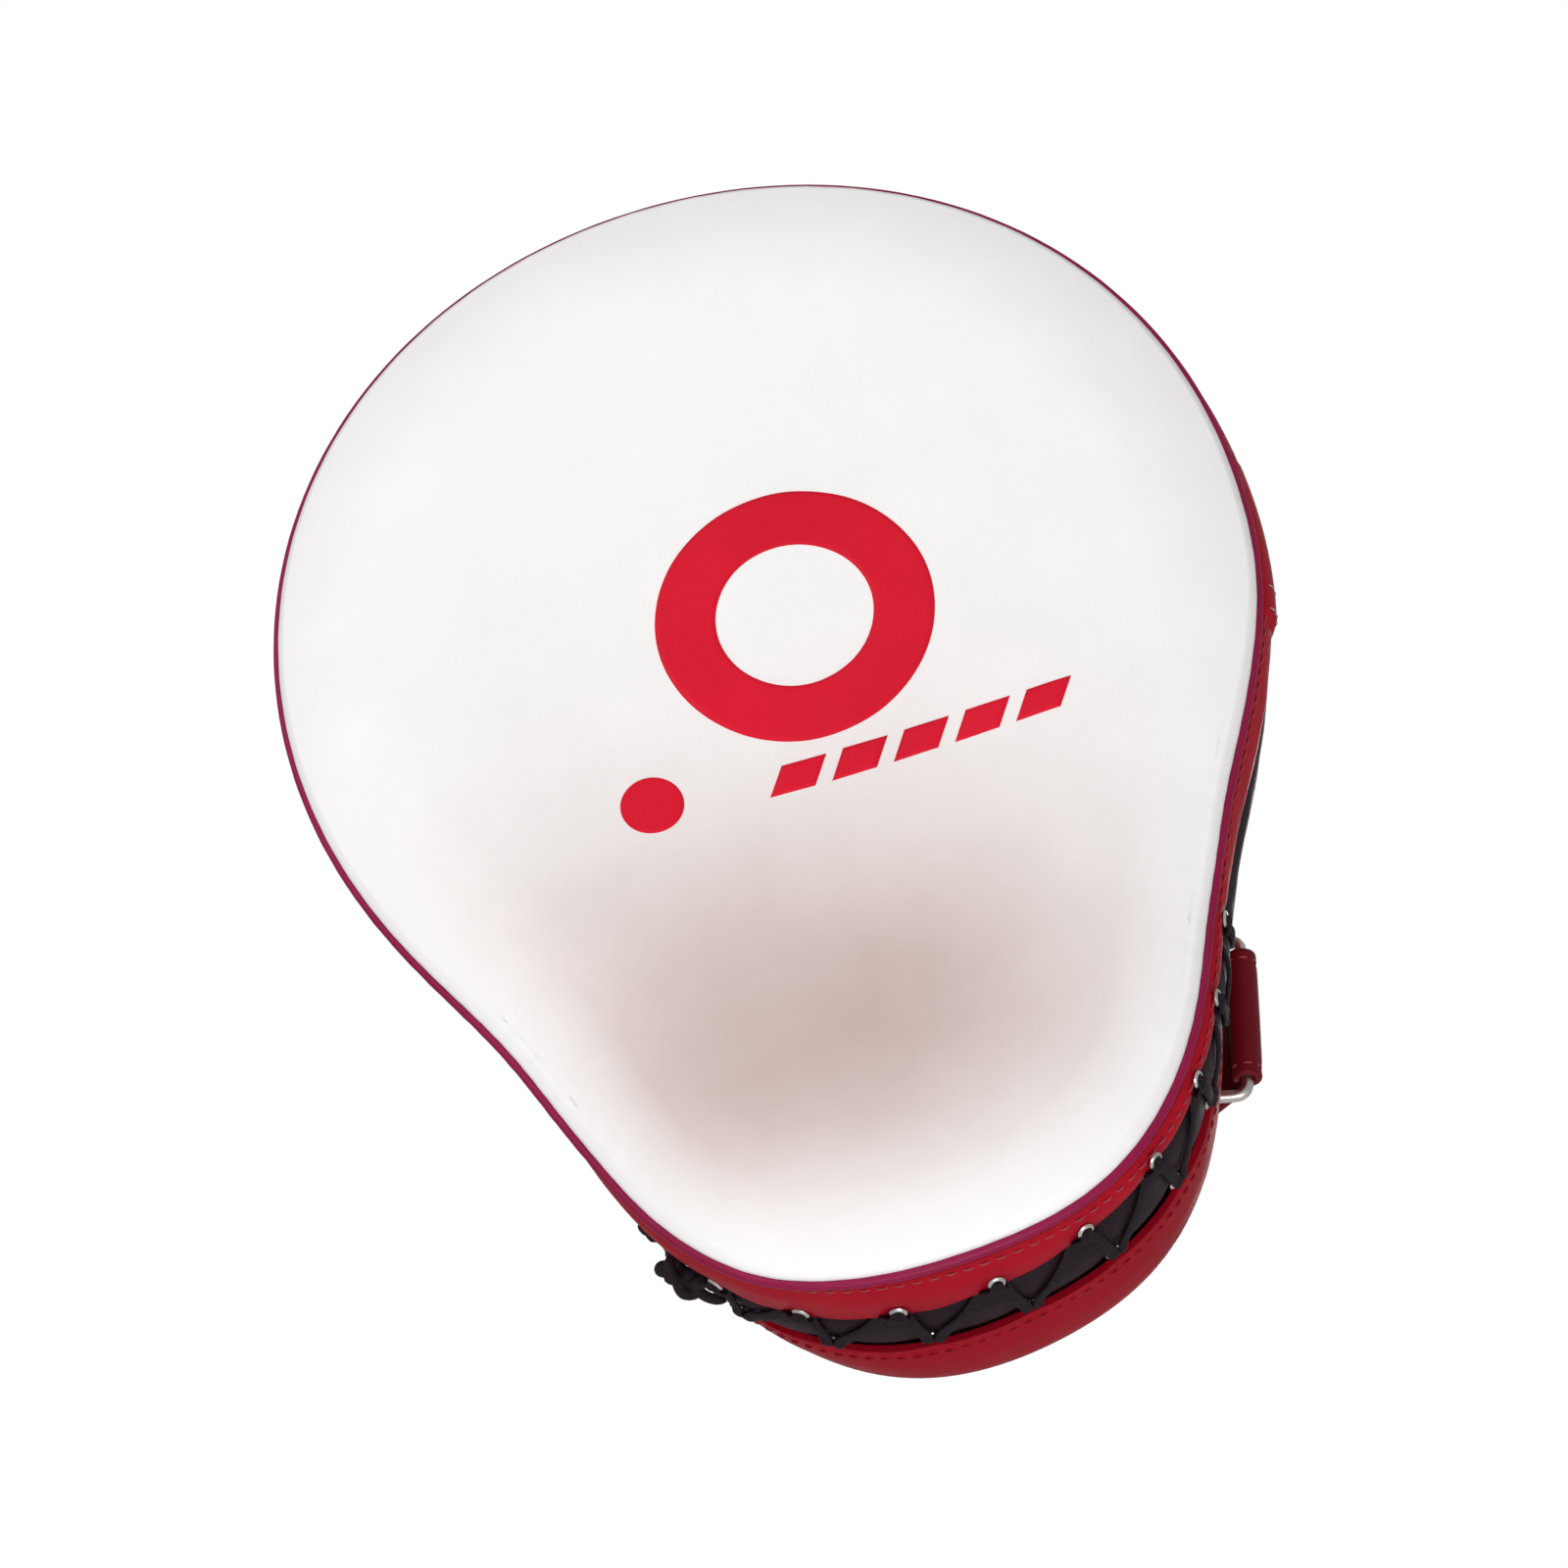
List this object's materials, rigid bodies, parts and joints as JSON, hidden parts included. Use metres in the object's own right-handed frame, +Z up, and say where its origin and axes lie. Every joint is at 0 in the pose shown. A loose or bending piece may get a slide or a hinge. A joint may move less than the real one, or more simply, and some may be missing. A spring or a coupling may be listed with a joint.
{
  "type": "punch mitt",
  "caption": "Curved pear-shaped punch mitt: white striking face with a red target ring, laced red and black side, hand pockets and a ring-and-strap wrist closure.",
  "frame": {"origin": "middle of the palm cushion's flat top, where the wearer's palm bears", "axes": "+X across the mitt towards the ring side, +Y from the striking face towards the wearer, +Z up towards the fingertips"},
  "size_m": [0.2128, 0.1198, 0.2767],
  "materials": {
    "white_leather": "smooth semi-gloss coated leather",
    "red_print": "smooth satin applied marks",
    "crimson_piping": "satin piping",
    "red_leather": "fine-grained satin coated leather",
    "red_webbing": "leather-faced webbing",
    "black_leather": "fine-grained satin coated leather",
    "black_lace": "waxed lace",
    "hook_and_loop": "hook-and-loop pile",
    "nickel": "polished nickel plate",
    "black_lining": "matte woven lining",
    "dark_foam": "matte closed-cell foam",
    "light_foam": "matte closed-cell foam"
  },
  "bodies": {
    "root": {"accent_bar_1": "red_print", "accent_bar_2": "red_print", "accent_bar_3": "red_print", "accent_bar_4": "red_print", "accent_bar_5": "red_print", "accent_disc": "red_print", "back_cover": "red_leather", "back_eyelet_01": "nickel", "back_eyelet_02": "nickel", "back_eyelet_03": "nickel", "back_eyelet_04": "nickel", "back_eyelet_05": "nickel", "back_eyelet_06": "nickel", "back_eyelet_07": "nickel", "back_eyelet_08": "nickel", "back_eyelet_09": "nickel", "back_eyelet_10": "nickel", "back_eyelet_11": "nickel", "back_foam": "light_foam", "face_cover": "white_leather", "face_piping": "crimson_piping", "finger_hood": "red_leather", "finger_hood_binding": "black_leather", "finger_liner": "black_lining", "front_eyelet_01": "nickel", "front_eyelet_02": "nickel", "front_eyelet_03": "nickel", "front_eyelet_04": "nickel", "front_eyelet_05": "nickel", "front_eyelet_06": "nickel", "front_eyelet_07": "nickel", "front_eyelet_08": "nickel", "front_eyelet_09": "nickel", "front_eyelet_10": "nickel", "front_eyelet_11": "nickel", "front_gusset": "red_leather", "front_pad_lining": "black_lining", "gusset_join": "red_leather", "impact_foam": "light_foam", "lacing_welt": "black_leather", "loop_patch": "hook_and_loop", "palm_cushion": "black_leather", "rebound_foam": "light_foam", "ring_tab": "red_webbing", "ring_tab_patch": "black_leather", "shock_foam": "dark_foam", "strap_root_patch": "black_leather", "target_ring": "red_print", "thumb_pocket": "red_leather", "thumb_pocket_binding": "black_leather", "wrist_lace": "black_lace", "wrist_pad": "black_leather", "wrist_strap": "red_webbing"},
    "ring": {"strap_ring": "nickel"},
    "tail": {"strap_tail": "red_webbing", "hook_patch": "hook_and_loop"}
  },
  "joints": [
    {"name": "ring_swivel", "type": "hinge", "parent": "root", "child": "ring", "pos_m": [0.055, -0.0116, -0.041], "axis": [0.2351, 0, 0.972], "range_deg": [-25, 0]},
    {"name": "tail_peel", "type": "hinge", "parent": "ring", "child": "tail", "pos_m": [0.06423, -0.0116, -0.04323], "axis": [-0.2351, 0, -0.972], "range_deg": [0, 115]}
  ]
}
